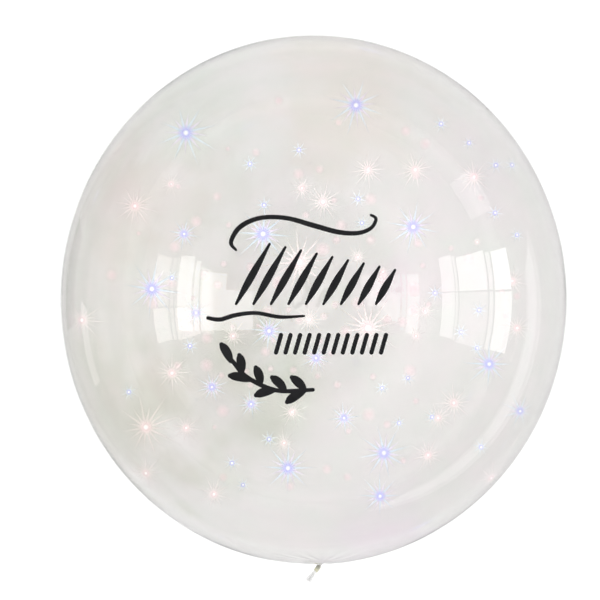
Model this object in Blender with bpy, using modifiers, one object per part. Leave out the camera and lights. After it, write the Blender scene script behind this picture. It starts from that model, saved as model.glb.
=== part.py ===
"""A clear bubble balloon lying on its back, with its neck towards -Y and its printed side up.

Two pieces: the blown film, whose ball, gathered neck and short tail are one, and the cord wound round the neck.
The ball is closed and full of air, so it is modelled as a solid. Metres, +Z up, and the origin is at the
middle of the flat spot that the balloon rests on.
"""

import math

import bmesh
import bpy
from mathutils import Vector

# The ball
BALL_WIDTH = 0.550
BALL_LENGTH = 0.574  # from its crown to its neck, along Y
FLAT_SPOT_WIDTH = 0.076

# The pleats that run from the neck into the ball
PLEAT_COUNT = 16
PLEAT_REACH = 0.060
PLEAT_DEPTH = 0.0014

# The gathered neck and the film's tail beyond the cord
FUNNEL_WIDTH = 0.0076  # where the ball's film turns out into the neck
NECK_WIDTH = 0.0024
NECK_SIDESTEP = 0.0078  # from the ball's axis, towards +X
NECK_LEAN = math.radians(35)  # from the ball's axis, towards -X
NECK_DROOP = math.radians(8)
NECK_BEND_INSIDE = 0.0016  # the bend's inner radius, at the funnel's edge
NECK_FLUTE = 0.10  # how deep the pleats cut into the neck, as a share of its radius
TAIL_LENGTH = 0.0125
TAIL_WIDTH = 0.0050
TAIL_FLUTE = 0.28

# The cord wound round the neck
CORD_WIDTH = 0.0009
CORD_TURNS = 9
CORD_CLEARANCE = 0.0003  # between the cord and the film
KNOT_WIDTH = 0.0032

# Facets
FACETS_PER_PLEAT = 4
CROWN_RINGS = 18  # from the crown to the ball's middle
NECKWARD_RINGS = 16  # from the ball's middle to the pleats
PLEAT_RINGS = 6
FUNNEL_RINGS = 4
TAIL_RINGS = 6
CORD_FACETS = 24
CORD_ARC_STEPS = 3
KNOT_FACETS = 14

# Worked out from the sizes above
BALL_RADIUS = BALL_WIDTH / 2
HALF_LENGTH = BALL_LENGTH / 2
CENTRE_HEIGHT = math.sqrt(BALL_RADIUS**2 - (FLAT_SPOT_WIDTH / 2) ** 2)
NECK_RADIUS = NECK_WIDTH / 2
FACETS_AROUND = PLEAT_COUNT * FACETS_PER_PLEAT
WOUND_RADIUS = NECK_RADIUS * (1 + NECK_FLUTE) + CORD_CLEARANCE
WOUND_LENGTH = CORD_WIDTH * CORD_TURNS

UP = Vector((0, 0, 1))
AWAY_FROM_CROWN = Vector((0, -1, 0))


def clear_scene():
    """Removes the objects that the scene starts with."""
    for thing in list(bpy.data.objects):
        bpy.data.objects.remove(thing)


def collection(name):
    """A new collection in the scene."""
    made = bpy.data.collections.new(name)
    bpy.context.scene.collection.children.link(made)
    return made


def material(name, colour, roughness, transmission=0.0):
    """A plain Principled BSDF material."""
    made = bpy.data.materials.new(name)
    made.use_nodes = True
    shader = made.node_tree.nodes["Principled BSDF"]
    shader.inputs["Base Color"].default_value = (*colour, 1)
    shader.inputs["Roughness"].default_value = roughness
    shader.inputs["Metallic"].default_value = 0.0
    shader.inputs["Transmission Weight"].default_value = transmission
    return made


def add_object(name, shape, home):
    """An object that holds a finished bmesh, in its collection."""
    mesh = bpy.data.meshes.new(name)
    shape.to_mesh(mesh)
    shape.free()
    made = bpy.data.objects.new(name, mesh)
    home.objects.link(made)
    return made


def cut_or_join(target, other, operation):
    """A Boolean modifier on the target, whose other shape stays out of the render."""
    modifier = target.modifiers.new(other.name, "BOOLEAN")
    modifier.operation = operation
    modifier.solver = "EXACT"
    modifier.object = other
    other.hide_render = True
    other.display_type = "WIRE"


def ease(share):
    """Runs smoothly from 0 to 1 as share does."""
    return share * share * (3 - 2 * share)


def heading(bend):
    """The way out of the neck, once it has turned by this share of its lean and droop."""
    lean, droop = NECK_LEAN * bend, NECK_DROOP * bend
    return Vector((-math.sin(lean) * math.cos(droop), -math.cos(lean) * math.cos(droop), -math.sin(droop)))


class Ring:
    """One cross-section of the film: its middle, the way it faces, its radius and its pleats."""

    def __init__(self, middle, facing, radius, groove=0.0, flute=0.0):
        self.middle = middle
        self.facing = facing
        self.radius = radius
        self.groove = groove  # how far the pleats sink into the ball
        self.flute = flute  # how far they cut into the neck, as a share of its radius

    def points(self):
        """The ring's points, from +X round by +Z."""
        side = UP.cross(self.facing).normalized()
        top = self.facing.cross(side)
        found = []
        for i in range(FACETS_AROUND):
            angle = 2 * math.pi * i / FACETS_AROUND
            fold = (1 - math.cos(PLEAT_COUNT * angle)) / 2
            outward = side * math.cos(angle) + top * math.sin(angle)
            reach = self.radius * (1 + self.flute - 2 * self.flute * fold)
            found.append(self.middle + outward * reach - self.facing * (self.groove * fold))
        return found


def ball_rings():
    """The ball's rings, from the one next to the crown to the funnel's edge."""
    quarter = math.pi / 2
    funnel = math.pi - math.asin(FUNNEL_WIDTH / BALL_WIDTH)
    pleats = math.pi - math.asin((FUNNEL_WIDTH / 2 + PLEAT_REACH) / BALL_RADIUS)
    turns = [quarter * (i + 1) / CROWN_RINGS for i in range(CROWN_RINGS)]
    turns += [quarter + (pleats - quarter) * (i + 1) / NECKWARD_RINGS for i in range(NECKWARD_RINGS)]
    turns += [pleats + (funnel - pleats) * (i + 1) / PLEAT_RINGS for i in range(PLEAT_RINGS)]
    rings = []
    for turn in turns:
        pleated = ease(max(turn - pleats, 0) / (funnel - pleats))
        middle = Vector((NECK_SIDESTEP * pleated, HALF_LENGTH * math.cos(turn), CENTRE_HEIGHT))
        radius = BALL_RADIUS * math.sin(turn)
        rings.append(Ring(middle, AWAY_FROM_CROWN, radius, groove=PLEAT_DEPTH * pleated))
    return rings


def funnel_rings(edge):
    """The rings that bend and narrow from the funnel's edge to the neck."""
    bend_radius = edge.radius + NECK_BEND_INSIDE
    step = bend_radius * AWAY_FROM_CROWN.angle(heading(1)) / FUNNEL_RINGS
    rings = []
    middle = edge.middle
    for i in range(FUNNEL_RINGS):
        share = (i + 1) / FUNNEL_RINGS
        middle = middle + heading(share - 0.5 / FUNNEL_RINGS) * step
        radius = NECK_RADIUS + (edge.radius - NECK_RADIUS) * (1 - share) ** 2
        groove = edge.groove * (1 - share)
        rings.append(Ring(middle, heading(share), radius, groove=groove, flute=NECK_FLUTE * share))
    return rings


def tail_rings(neck):
    """The rings from the far end of the wound cord to the end of the tail, which flares a little."""
    cord_end = neck.middle + neck.facing * (WOUND_LENGTH + 2 * CORD_CLEARANCE)
    rings = []
    for i in range(TAIL_RINGS + 1):
        share = i / TAIL_RINGS
        middle = cord_end + neck.facing * (TAIL_LENGTH * share)
        radius = NECK_RADIUS + (TAIL_WIDTH / 2 - NECK_RADIUS) * math.sqrt(share)
        flute = NECK_FLUTE + (TAIL_FLUTE - NECK_FLUTE) * share
        rings.append(Ring(middle, neck.facing, radius, flute=flute))
    return rings


def film_skin(crown, rings):
    """A closed skin from the crown's point through every ring, with a flat end."""
    shape = bmesh.new()
    tip = shape.verts.new(crown)
    loops = [[shape.verts.new(point) for point in ring.points()] for ring in rings]
    for i in range(FACETS_AROUND):
        after = (i + 1) % FACETS_AROUND
        shape.faces.new((tip, loops[0][after], loops[0][i]))
        for near, far in zip(loops, loops[1:]):
            shape.faces.new((near[i], near[after], far[after], far[i]))
    shape.faces.new(loops[-1])
    bmesh.ops.recalc_face_normals(shape, faces=shape.faces)
    return shape


def floor_cutter(home):
    """The block below the floor that cuts the flat spot."""
    bpy.ops.mesh.primitive_cube_add(size=1, location=(0, 0, -BALL_RADIUS / 2))
    block = bpy.context.active_object
    block.name = "flat_spot"
    block.dimensions = (BALL_WIDTH, BALL_LENGTH, BALL_RADIUS)
    bpy.ops.object.transform_apply(location=False, rotation=False, scale=True)
    for owner in block.users_collection:
        owner.objects.unlink(block)
    home.objects.link(block)
    return block


def balloon_film(home, cutters):
    """The ball, its neck and its tail. Returns the ring where the neck begins."""
    ball = ball_rings()
    funnel = funnel_rings(ball[-1])
    neck = funnel[-1]
    crown = Vector((0, HALF_LENGTH, CENTRE_HEIGHT))
    film = add_object("balloon_film", film_skin(crown, ball + funnel + tail_rings(neck)), home)
    film.data.shade_smooth()
    film.data.materials.append(material("clear_film", (0.80, 0.81, 0.80), 0.06, transmission=1.0))
    cut_or_join(film, floor_cutter(cutters), "DIFFERENCE")
    return neck


def winding_profile():
    """The wound cord's outline beside the neck's axis: a bulge for each turn, then the straight inside."""
    points = []
    for turn in range(CORD_TURNS):
        for step in range(CORD_ARC_STEPS):
            angle = math.pi * step / CORD_ARC_STEPS
            out = WOUND_RADIUS + CORD_WIDTH / 2 * (1 + math.sin(angle))
            points.append((out, WOUND_LENGTH - CORD_WIDTH * (turn + (1 - math.cos(angle)) / 2)))
    points.append((WOUND_RADIUS + CORD_WIDTH / 2, 0.0))
    points.append((WOUND_RADIUS, 0.0))
    points.append((WOUND_RADIUS, WOUND_LENGTH))
    return points


def winding(home):
    """The wound cord, turned round its own Z axis."""
    shape = bmesh.new()
    corners = [shape.verts.new((out, 0, along)) for out, along in winding_profile()]
    for corner, after in zip(corners, corners[1:] + corners[:1]):
        shape.edges.new((corner, after))
    wound = add_object("neck_tie", shape, home)
    turned = wound.modifiers.new("turned", "SCREW")
    turned.steps = turned.render_steps = CORD_FACETS
    turned.use_merge_vertices = True
    turned.merge_threshold = 1e-6
    return wound


def knot(home):
    """The knot's bead, on top of the winding at the end next to the ball."""
    shape = bmesh.new()
    bmesh.ops.create_uvsphere(shape, u_segments=KNOT_FACETS, v_segments=KNOT_FACETS // 2, radius=KNOT_WIDTH / 2)
    bead = add_object("knot", shape, home)
    bead.location = (0, WOUND_RADIUS + (CORD_WIDTH + KNOT_WIDTH) / 2, KNOT_WIDTH / 2)
    return bead


def neck_tie(home, cutters, neck):
    """The cord wound round the neck from the funnel on, with its knot."""
    frame = bpy.data.objects.new("neck_frame", None)
    cutters.objects.link(frame)
    frame.location = neck.middle + neck.facing * CORD_CLEARANCE
    frame.rotation_euler = neck.facing.to_track_quat("Z", "Y").to_euler()
    wound = winding(home)
    bead = knot(cutters)
    wound.parent = frame
    bead.parent = frame
    wound.data.materials.append(material("olive_cord", (0.23, 0.23, 0.13), 0.7))
    cut_or_join(wound, bead, "UNION")


def main():
    """Makes the balloon."""
    clear_scene()
    home = collection("bubble_balloon")
    cutters = collection("cutters")
    neck = balloon_film(home, cutters)
    neck_tie(home, cutters, neck)


main()
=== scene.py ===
"""The looks of a clear bubble balloon on its back: its film, cord, print and sparkles, and the studio.

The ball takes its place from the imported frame, and the neck has the sizes of the part's source. The print
and the brighter sparkles are placed by the pixel of the photograph that shows them: sighted() follows that
pixel's line of sight to the film.
"""

import math
import random

import bmesh
import bpy
from bpy.props import FloatProperty, FloatVectorProperty, IntProperty, PointerProperty
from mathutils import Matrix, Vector


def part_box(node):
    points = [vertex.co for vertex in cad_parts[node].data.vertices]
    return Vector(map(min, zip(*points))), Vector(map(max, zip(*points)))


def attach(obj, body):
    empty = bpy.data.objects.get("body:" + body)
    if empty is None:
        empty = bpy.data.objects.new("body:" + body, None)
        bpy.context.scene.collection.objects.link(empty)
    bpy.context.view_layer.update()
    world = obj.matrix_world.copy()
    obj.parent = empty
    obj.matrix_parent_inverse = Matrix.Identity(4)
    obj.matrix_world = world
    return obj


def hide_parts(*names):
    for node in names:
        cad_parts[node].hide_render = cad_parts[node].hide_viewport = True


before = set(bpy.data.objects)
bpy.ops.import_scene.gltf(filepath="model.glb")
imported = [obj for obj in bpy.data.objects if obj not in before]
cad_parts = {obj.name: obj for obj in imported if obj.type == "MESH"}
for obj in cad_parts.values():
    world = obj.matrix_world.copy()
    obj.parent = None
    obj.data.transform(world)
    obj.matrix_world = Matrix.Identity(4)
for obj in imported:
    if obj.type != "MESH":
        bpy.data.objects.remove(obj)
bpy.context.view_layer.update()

bl_info = {
    "name": "Bubble balloon",
    "version": (1, 0, 0),
    "blender": (4, 5, 0),
    "location": "3D View > Sidebar > Balloon",
    "description": "Dresses a packed bubble balloon in its film, cord, print and sparkles",
    "category": "Object",
}

MM = 0.001

# The ball, read from the frame
FILM_LOW, FILM_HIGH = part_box("balloon_film")
BALL_RADIUS = (FILM_HIGH.x - FILM_LOW.x) / 2
HALF_LENGTH = FILM_HIGH.y
BALL_CENTRE = Vector((0, 0, FILM_HIGH.z - BALL_RADIUS))
BALL_AXES = Vector((BALL_RADIUS, HALF_LENGTH, BALL_RADIUS))

# The neck, as the part's source has it
NECK_SIDESTEP = 7.8 * MM
NECK_LEAN = math.radians(35)
NECK_DROOP = math.radians(8)
FUNNEL_RADIUS = 3.8 * MM
NECK_RADIUS = 1.2 * MM
BEND_RADIUS = FUNNEL_RADIUS + 1.6 * MM
WOUND_LENGTH = 8.1 * MM
TAIL_LENGTH = 12.5 * MM
TAIL_RADIUS = 2.5 * MM
CORD_GAP = 0.3 * MM

# The photograph's frame
PICTURE = 600
BALL_IN_PICTURE = 507
BALL_MIDDLE = (313.5, 299.5)
LENS = 135
HALF_SENSOR = 18
HALF_FRAME = HALF_SENSOR / LENS
CAMERA_DISTANCE = BALL_RADIUS / math.sin(math.atan(HALF_FRAME * BALL_IN_PICTURE / PICTURE))
PIXEL = 2 * HALF_FRAME * CAMERA_DISTANCE / PICTURE
CAMERA_PLACE = BALL_CENTRE + Vector(
    ((PICTURE / 2 - BALL_MIDDLE[0]) * PIXEL, (BALL_MIDDLE[1] - PICTURE / 2) * PIXEL, CAMERA_DISTANCE)
)


# Settings


def colour_setting(name, description, default):
    """A colour in a group of settings."""
    return FloatVectorProperty(name=name, description=description, subtype="COLOR", default=default)


def length_setting(name, description, default):
    """A length in a group of settings."""
    return FloatProperty(name=name, description=description, default=default, unit="LENGTH")


def share_setting(name, description, default):
    """A share from 0 to 1 in a group of settings."""
    return FloatProperty(name=name, description=description, default=default, subtype="FACTOR")


def amount_setting(name, description, default):
    """A brightness in a group of settings."""
    return FloatProperty(name=name, description=description, default=default, min=0)


class FilmSettings(bpy.types.PropertyGroup):
    """The clear film's sizes and colours."""

    around: IntProperty(name="Points around", description="Points round the ball", default=192, min=32)
    along: IntProperty(name="Points along", description="From the crown to the cord", default=150, min=40)
    tail_along: IntProperty(name="Points along the tail", description="From the cord on", default=40, min=8)
    wall: length_setting("Wall", "Thickness of the film", 0.2 * MM)
    pleats: IntProperty(name="Pleats", description="Main pleats round the neck", default=16, min=4)
    pleat_depth: length_setting("Pleat depth", "Depth of the pleats at the neck", 1.1 * MM)
    pleat_reach: length_setting("Pleat reach", "How far the pleats run over the ball", 64 * MM)
    tint: colour_setting("Tint", "Colour of the clear film", (1.0, 0.997, 0.992))
    # Darkening edge-on is painted shade towards the film's rim
    edge_shade: share_setting("Edge shade", "Darkening of the film edge-on", 0.20)
    roughness: share_setting("Roughness", "Roughness of the film", 0.015)
    tail_tone: colour_setting("Tail tone", "Colour of the gathered film", (0.95, 0.95, 0.94))


class CordSettings(bpy.types.PropertyGroup):
    """The cord round the neck."""

    width: length_setting("Width", "Thickness of the cord", 0.88 * MM)
    turns: IntProperty(name="Turns", description="Turns round the neck", default=9, min=2)
    colour: colour_setting("Colour", "Colour of the cord", (0.58, 0.57, 0.43))
    # The knot's darker colour is painted shade
    knot_shade: colour_setting("Knot shade", "Colour of the knot", (0.37, 0.37, 0.30))


class PrintSettings(bpy.types.PropertyGroup):
    """The ink printed on the film."""

    lift: length_setting("Lift", "Gap under the ink", 0.06 * MM)
    ink: length_setting("Ink", "Thickness of the ink", 0.10 * MM)
    colour: colour_setting("Colour", "Colour of the ink", (0.004, 0.004, 0.0045))


class SparkleSettings(bpy.types.PropertyGroup):
    """The sparkles inside the film: painted glints that glow."""

    glow: amount_setting("Glow", "Strength of the sparkles' light", 0.85)
    # The faint flecks glow: they are faint painted glints
    faint_glints: IntProperty(name="Faint glints", description="Faint flecks strewn at random", default=84, min=0)
    seed: IntProperty(name="Seed", description="Changes where the faint flecks lie", default=7)


class StudioSettings(bpy.types.PropertyGroup):
    """The light in the studio."""

    dome: amount_setting("Dome", "Brightness round the horizon", 0.72)
    zenith: amount_setting("Zenith", "Brightness straight overhead", 2.05)
    window: amount_setting("Window", "Brightness of the window panes", 2.7)


# Node trees written as arithmetic


class Term:
    """One value in a node tree, so that a formula there can be written as plain arithmetic."""

    def __init__(self, tree, socket):
        self.tree = tree
        self.socket = socket

    def __add__(self, other):
        return maths(self.tree, "ADD", self, other)

    def __sub__(self, other):
        return maths(self.tree, "SUBTRACT", self, other)

    def __rsub__(self, other):
        return maths(self.tree, "SUBTRACT", other, self)

    def __mul__(self, other):
        return maths(self.tree, "MULTIPLY", self, other)

    def __truediv__(self, other):
        return maths(self.tree, "DIVIDE", self, other)

    def __pow__(self, other):
        return maths(self.tree, "POWER", self, other)

    __radd__ = __add__
    __rmul__ = __mul__


def plug(tree, socket, value):
    """Gives a socket its value: a plain one, another node's output, or a term."""
    if isinstance(value, Term):
        value = value.socket
    if isinstance(value, bpy.types.NodeSocket):
        tree.links.new(value, socket)
    else:
        socket.default_value = value


def maths(tree, operation, *values):
    """A maths node's result."""
    node = tree.nodes.new("ShaderNodeMath")
    node.operation = operation
    for socket, value in zip(node.inputs, values):
        plug(tree, socket, value)
    return Term(tree, node.outputs[0])


def cos(term):
    return maths(term.tree, "COSINE", term)


def sin(term):
    return maths(term.tree, "SINE", term)


def root(term):
    return maths(term.tree, "SQRT", term)


def within(term):
    """The term, kept between 0 and 1."""
    return maths(term.tree, "MINIMUM", maths(term.tree, "MAXIMUM", term, 0.0), 1.0)


def ease(term):
    """Runs smoothly from 0 to 1 as the term does."""
    return term * term * (3 - 2 * term)


def fill(tree, node, inputs):
    """Gives each of a node's inputs its value."""
    for name, value in inputs.items():
        plug(tree, node.inputs[name], value)


def add_node(tree, kind, inputs=None, **settings):
    """A new node with its settings made and its inputs filled."""
    node = tree.nodes.new(kind)
    for name, value in settings.items():
        setattr(node, name, value)
    fill(tree, node, inputs or {})
    return node


def vector_maths(tree, operation, *values):
    """A vector maths node's result."""
    node = add_node(tree, "ShaderNodeVectorMath", dict(enumerate(values)), operation=operation)
    return node.outputs["Value" if operation in ("LENGTH", "DISTANCE", "DOT_PRODUCT") else "Vector"]


class Recipe:
    """A geometry node tree with named inputs, which ends as one realized geometry in one material."""

    def __init__(self, name):
        self.tree = bpy.data.node_groups.new(name, "GeometryNodeTree")
        self.tree.interface.new_socket("Geometry", in_out="OUTPUT", socket_type="NodeSocketGeometry")
        self.tree.interface.new_socket("Geometry", in_out="INPUT", socket_type="NodeSocketGeometry")
        self.start = self.tree.nodes.new("NodeGroupInput")
        self.values = {}

    def value(self, name, value, kind="Float"):
        """A named input, and the value that this object gives it."""
        socket = self.tree.interface.new_socket(name, in_out="INPUT", socket_type=f"NodeSocket{kind}")
        self.values[socket.identifier] = value
        return Term(self.tree, self.start.outputs[name])

    def add(self, kind, inputs=None, **settings):
        return add_node(self.tree, kind, inputs, **settings)

    def finish(self, geometry, material):
        """Ends the tree in realized geometry with its material, shaded smooth."""
        smooth = self.add("GeometryNodeSetShadeSmooth", {"Geometry": geometry})
        real = self.add("GeometryNodeRealizeInstances", {"Geometry": smooth.outputs[0]})
        slot = self.value("Material", material, "Material")
        painted = self.add("GeometryNodeSetMaterial", {"Geometry": real.outputs[0], "Material": slot})
        self.add("NodeGroupOutput", {"Geometry": painted.outputs[0]})

    def make(self, name, base=None, wall=0.0):
        """Runs the recipe on a base mesh and returns the result as a plain mesh object."""
        worked = add_object(name + "_worked", base or bpy.data.meshes.new(name + "_base"))
        nodes = worked.modifiers.new("recipe", "NODES")
        nodes.node_group = self.tree
        for identifier, value in self.values.items():
            nodes[identifier] = value
        if wall:
            shell = worked.modifiers.new("wall", "SOLIDIFY")
            shell.thickness = wall
            shell.offset = -1
        evaluated = worked.evaluated_get(bpy.context.evaluated_depsgraph_get())
        mesh = bpy.data.meshes.new_from_object(evaluated)
        mesh.name = name
        bpy.data.objects.remove(worked)
        return add_object(name, mesh)


def finished_mesh(name, shape, material=None):
    """Turns a worked shape into a mesh, and gives it its material."""
    mesh = bpy.data.meshes.new(name)
    shape.to_mesh(mesh)
    shape.free()
    if material:
        mesh.materials.append(material)
    return mesh


def add_object(name, data):
    """A new object at the origin, with its mesh, light or camera."""
    made = bpy.data.objects.new(name, data)
    bpy.context.scene.collection.objects.link(made)
    return made


def dress(piece, slot, *replaced):
    """Hangs a finished piece on the root and hides the solids that it stands for. Its slot is not used."""
    if replaced:
        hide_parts(*replaced)
    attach(piece, "root")


# Lines of sight


def sighted(across, down, lift, far_wall=False):
    """The point on the film's near or far wall that the picture shows at this pixel, lifted out from it."""
    axes = BALL_AXES + Vector((lift, lift, lift))
    way = Vector(((across - PICTURE / 2) * HALF_FRAME, (PICTURE / 2 - down) * HALF_FRAME, -PICTURE / 2))
    start = CAMERA_PLACE - BALL_CENTRE
    unit_way = Vector(w / a for w, a in zip(way, axes))
    unit_start = Vector(s / a for s, a in zip(start, axes))
    half = unit_way.dot(unit_start) / unit_way.length_squared
    spread = math.sqrt(max(half**2 - (unit_start.length_squared - 1) / unit_way.length_squared, 0))
    return BALL_CENTRE + start + way * (spread - half if far_wall else -spread - half)


# Materials


BLACK = (0, 0, 0)
# Nearly all of a noise's values lie between these
NOISE_LOW, NOISE_HIGH = 0.3, 0.7
FILM_IOR = 1.42


def new_material(name):
    """A material with its shader, ready for its texture."""
    material = bpy.data.materials.new(name)
    material.use_nodes = True
    return material, material.node_tree, material.node_tree.nodes["Principled BSDF"]


def object_place(tree):
    """Where a point is, on the object's own coordinates."""
    return add_node(tree, "ShaderNodeTexCoord").outputs["Object"]


def mottle(tree, scale, detail, low=0, high=1):
    """A soft noise on the object's own coordinates, spread from low to high."""
    values = {"Vector": object_place(tree), "Scale": scale, "Detail": detail}
    noise = add_node(tree, "ShaderNodeTexNoise", values).outputs[0]
    spread = {"Value": noise, "From Min": NOISE_LOW, "From Max": NOISE_HIGH, "To Min": low, "To Max": high}
    return add_node(tree, "ShaderNodeMapRange", spread).outputs[0]


def opaque(colour):
    """A socket as it is, or three values as a full colour."""
    return colour if isinstance(colour, bpy.types.NodeSocket) else (*colour, 1)


def blend_colours(tree, share, first, second, blend_type="MIX"):
    """A mix of two colours, by a plain or textured share."""
    node = add_node(tree, "ShaderNodeMix", data_type="RGBA", blend_type=blend_type)
    plug(tree, node.inputs[0], share)
    plug(tree, node.inputs[6], opaque(first))
    plug(tree, node.inputs[7], opaque(second))
    return node.outputs[2]


def bump(tree, height, distance, strength):
    """A bump map's normal from a height."""
    values = {"Height": height, "Distance": distance, "Strength": strength}
    return add_node(tree, "ShaderNodeBump", values).outputs[0]


def flat_distance(tree, across, up):
    """How far a place is from a spot, as read from above."""
    apart = vector_maths(tree, "SUBTRACT", object_place(tree), (across, up, 0))
    return vector_maths(tree, "LENGTH", vector_maths(tree, "MULTIPLY", apart, (1, 1, 0)))


def patch_share(tree, ragged, across, up, reach):
    """How far a place lies inside a soft ragged patch: 1 at its core, 0 past its reach."""
    distance = Term(tree, flat_distance(tree, across, up)) + ragged * reach
    spread = {"Value": distance, "From Min": reach, "From Max": reach * PATCH_CORE}
    return add_node(tree, "ShaderNodeMapRange", spread, interpolation_type="SMOOTHSTEP").outputs[0]


# The film's faint colours and painted shade: where each patch lies from above, how far it reaches and what it
# lets through
# The greyer patches, most of them on the left, are painted shade; the pastel ones are the film's own tint
FILM_TINTS_AND_SHADE = [
    (-0.25, 0.02, 0.26, (0.970, 0.970, 0.955)),
    (-0.12, 0.21, 0.08, (0.968, 0.985, 0.970)),
    (0.03, 0.22, 0.12, (0.992, 0.978, 0.958)),
    (-0.19, 0.10, 0.08, (0.990, 0.970, 0.962)),
    (-0.21, -0.13, 0.12, (0.974, 0.975, 0.955)),
    (-0.115, -0.12, 0.10, (0.957, 0.955, 0.946)),
    (-0.03, -0.10, 0.08, (0.975, 0.985, 0.965)),
    (0.07, -0.265, 0.07, (1.003, 0.975, 1.010)),
    (0.10, 0.02, 0.05, (1.003, 0.982, 1.003)),
    (0.17, 0.12, 0.06, (1.003, 0.985, 1.002)),
    (0.16, -0.14, 0.10, (0.985, 0.982, 0.982)),
]
# How far out a patch keeps its full strength, as a share of its reach
PATCH_CORE = 0.3
# Small clouds over all of it, from greenish to rosy
CLOUD_GREEN, CLOUD_ROSE = (0.977, 0.990, 0.975), (1.003, 0.981, 0.988)
# The higher it is, the closer to the rim the film darkens with its painted shade
EDGE_POWER = 1.6


def film_material(settings):
    """Clear stretched film: see-through and glossy, with broad soft patches of faint pastel, greyer patches
    of painted shade and painted shade edge-on.
    """
    material, tree, shader = new_material("clear_film")
    clouds = blend_colours(tree, mottle(tree, 24, 4), CLOUD_GREEN, CLOUD_ROSE)
    colour = blend_colours(tree, 1.0, settings.tint, clouds, "MULTIPLY")
    ragged = Term(tree, mottle(tree, 13, 3, -0.5, 0.5))
    # Each patch tints the film, or darkens it as painted shade
    for across, up, reach, tint_or_shade in FILM_TINTS_AND_SHADE:
        share = patch_share(tree, ragged, across, up, reach)
        tinted_or_shaded = blend_colours(tree, 1.0, colour, tint_or_shade, "MULTIPLY")
        colour = blend_colours(tree, share, colour, tinted_or_shaded)
    # Painted shade: the film's colour darkens as it turns edge-on
    edge = add_node(tree, "ShaderNodeLayerWeight", {"Blend": 0.5}).outputs["Facing"]
    depth = (Term(tree, edge) ** EDGE_POWER) * settings.edge_shade
    values = {
        "Base Color": blend_colours(tree, depth, colour, BLACK),
        "Roughness": mottle(tree, 9, 2, 0, settings.roughness),
        "IOR": FILM_IOR,
        "Transmission Weight": 1.0,
        "Normal": bump(tree, mottle(tree, 7, 1), 0.4 * MM, 0.35),
    }
    fill(tree, shader, values)
    return material


def gathered_material(settings):
    """The same film where it is gathered into the tail: many layers, so it looks milky."""
    material, tree, shader = new_material("gathered_film")
    tone = Vector(settings.tail_tone)
    values = {
        "Base Color": blend_colours(tree, mottle(tree, 500, 3), tone * 0.95, tone * 1.05),
        "Roughness": mottle(tree, 300, 2, 0.25, 0.4),
        "IOR": FILM_IOR,
        "Transmission Weight": 0.25,
        "Normal": bump(tree, mottle(tree, 900, 2), 0.1 * MM, 0.5),
    }
    fill(tree, shader, values)
    return material


def ink_material(settings):
    """Screen ink on film: black, nearly matt, with a slightly uneven surface."""
    material, tree, shader = new_material("black_print")
    ink = Vector(settings.colour)
    values = {
        "Base Color": blend_colours(tree, mottle(tree, 60, 3), ink, ink * 1.8),
        "Roughness": mottle(tree, 90, 2, 0.6, 0.8),
        "Specular IOR Level": 0.12,
        "Normal": bump(tree, mottle(tree, 400, 2), 0.05 * MM, 0.4),
    }
    fill(tree, shader, values)
    return material


# The cord's twist: how many radians its strands turn in a metre, and how many strands there are
TWIST_ALONG, STRANDS = 420, 3
# How far out from the knot's middle its painted shade is full, over the cord's width
KNOT_SHADE_REACH = 2.2


def cord_material(settings):
    """Olive cord of twisted strands, with painted shade at its knot and in the grooves between its strands.
    """
    material, tree, shader = new_material("neck_cord")
    tone = Vector(settings.colour)
    along = add_node(tree, "ShaderNodeAttribute", attribute_name="cord_along")
    around = add_node(tree, "ShaderNodeAttribute", attribute_name="cord_around")
    turned = Term(tree, around.outputs["Fac"]) * (STRANDS * math.tau)
    twist = sin(Term(tree, along.outputs["Fac"]) * TWIST_ALONG + turned)
    strand = twist * 0.5 + 0.5
    # Painted shade: darker where the twist's bump is low, between the strands
    colour = blend_colours(tree, strand, tone * 0.6, tone * 1.15)
    faded = blend_colours(tree, mottle(tree, 500, 2, 0, 0.4), colour, tone * 1.4)
    away = vector_maths(tree, "DISTANCE", object_place(tree), knot_middle(settings))
    near = ease(within(2 - Term(tree, away) / (KNOT_SHADE_REACH * settings.width)))
    values = {
        # Painted shade at the knot
        "Base Color": blend_colours(tree, near, faded, settings.knot_shade),
        "Roughness": mottle(tree, 700, 2, 0.6, 0.8),
        "Sheen Weight": 0.2,
        "Normal": bump(tree, strand, 0.12 * MM, 0.8),
    }
    fill(tree, shader, values)
    return material


# Most of a fleck's light is its own, so its surface is dark
SPARKLE_DARKNESS = 0.7


def sparkle_material(name, glow):
    """A painted glint: a fleck that glows by its own stored colour, as solid as the colour's fourth value
    says.
    """
    material, tree, shader = new_material(name)
    stored = add_node(tree, "ShaderNodeAttribute", attribute_name="glint")
    colour = stored.outputs["Color"]
    values = {
        "Base Color": blend_colours(tree, SPARKLE_DARKNESS, colour, BLACK),
        "Emission Color": colour,
        "Emission Strength": glow,
        "Alpha": stored.outputs["Alpha"],
        "Roughness": 0.6,
        "Specular IOR Level": 0.0,
    }
    fill(tree, shader, values)
    material.cycles.emission_sampling = "NONE"
    return material


# Painted shade on the paper by its distance from the balloon's middle: the balloon shades it and the studio
# falls off
PAINTED_FLOOR_SHADE = [
    (0.05, 0.97), (0.12, 0.93), (0.18, 0.80), (0.225, 0.745), (0.252, 0.71), (0.275, 0.68), (0.290, 0.71),
    (0.300, 0.72), (0.308, 0.80), (0.40, 0.80), (0.75, 0.46),
]
# Painted light: the paper glows under the ball where it gathers light; how strong that is in the middle, and
# how far it reaches
GATHERED_LIGHT, GATHERED_REACH = 0.15, 0.11


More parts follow.
